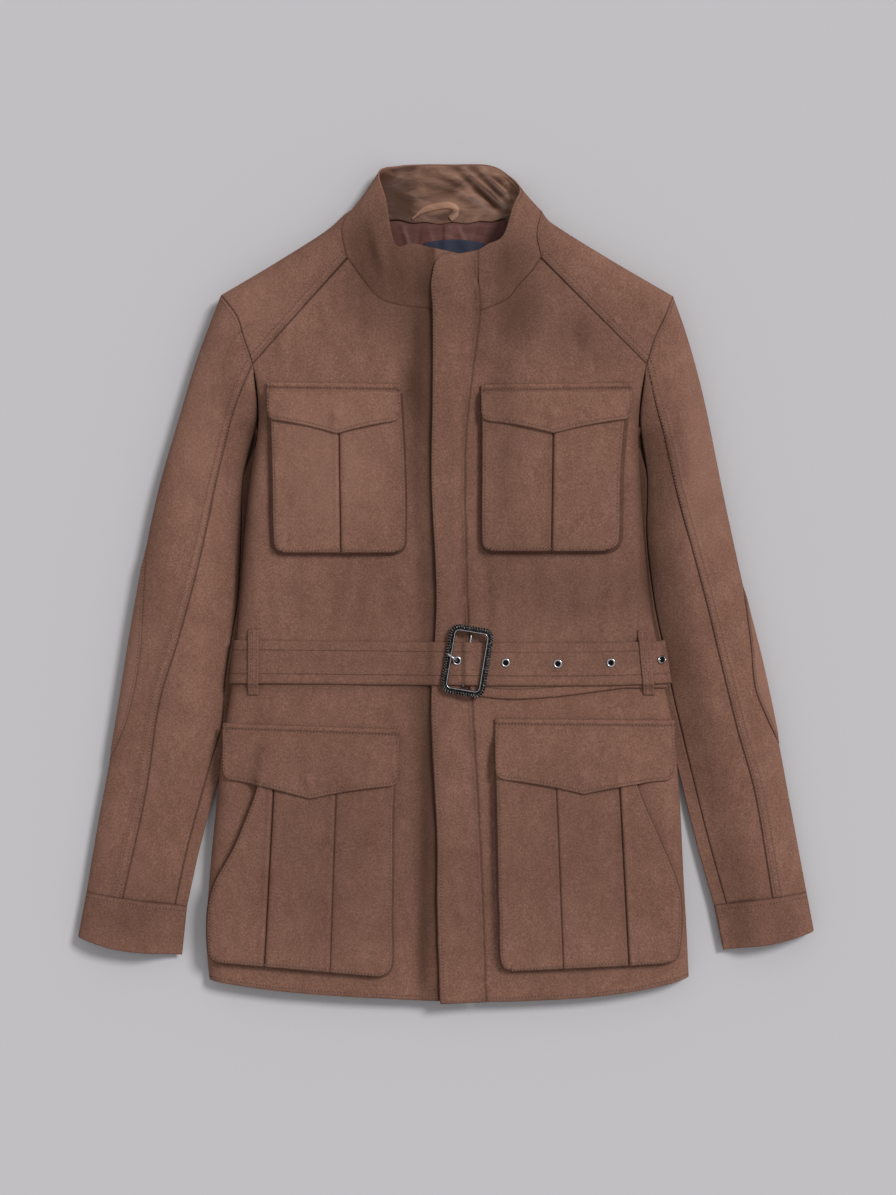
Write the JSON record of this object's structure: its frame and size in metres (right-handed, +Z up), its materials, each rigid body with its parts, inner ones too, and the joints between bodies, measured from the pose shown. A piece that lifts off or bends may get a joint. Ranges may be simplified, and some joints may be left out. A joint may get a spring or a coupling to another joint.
{
  "type": "hunting jacket",
  "caption": "Belted field jacket in brown faux suede laid flat, with stand collar, covered front, flapped bellows pockets, elbow patches and a buckled belt.",
  "frame": {"origin": "middle of the footprint on the surface that the jacket lies on", "axes": "+Y from the hem up to the collar, +X to the viewer's right, which is the wearer's left, +Z up from the surface"},
  "size_m": [0.733, 0.8349, 0.053],
  "materials": {
    "suede": "brushed faux suede",
    "suede_dark": "brushed faux suede, patches and gussets",
    "satin_facing": "satin",
    "satin_lining": "satin",
    "woven_label": "woven, plain",
    "gunmetal": "dark plated, worn to silver at its edges",
    "nickel": "bright nickel"
  },
  "bodies": {
    "root": {"back": "suede", "lining": "satin_lining", "label": "woven_label", "collar_facing": "satin_facing", "hanger_loop": "satin_facing", "front_right_side": "suede", "front_right": "suede", "yoke_right": "suede", "sleeve_right_outer": "suede", "sleeve_right_inner": "suede", "sleeve_right_under": "suede", "cuff_right": "suede", "elbow_patch_right": "suede_dark", "front_left_side": "suede", "front_left": "suede", "yoke_left": "suede", "sleeve_left_outer": "suede", "sleeve_left_inner": "suede", "sleeve_left_under": "suede", "cuff_left": "suede", "elbow_patch_left": "suede_dark", "collar": "suede", "placket": "suede", "chest_pocket_right_gusset": "suede_dark", "chest_pocket_right_panel": "suede", "chest_pocket_right_flap": "suede", "hip_pocket_right_gusset": "suede_dark", "hip_pocket_right_panel": "suede", "hip_pocket_right_flap": "suede", "chest_pocket_left_gusset": "suede_dark", "chest_pocket_left_panel": "suede", "chest_pocket_left_flap": "suede", "hip_pocket_left_gusset": "suede_dark", "hip_pocket_left_panel": "suede", "hip_pocket_left_flap": "suede", "belt_buckle_end": "suede", "buckle_bar": "gunmetal", "belt_tail": "suede", "buckle_frame": "gunmetal", "buckle_prong": "nickel", "belt_back": "suede", "eyelet_1": "nickel", "eyelet_2": "nickel", "eyelet_3": "nickel", "eyelet_4": "nickel", "eyelet_5": "nickel", "belt_loop_right": "suede", "belt_loop_left": "suede"}
  },
  "joints": []
}
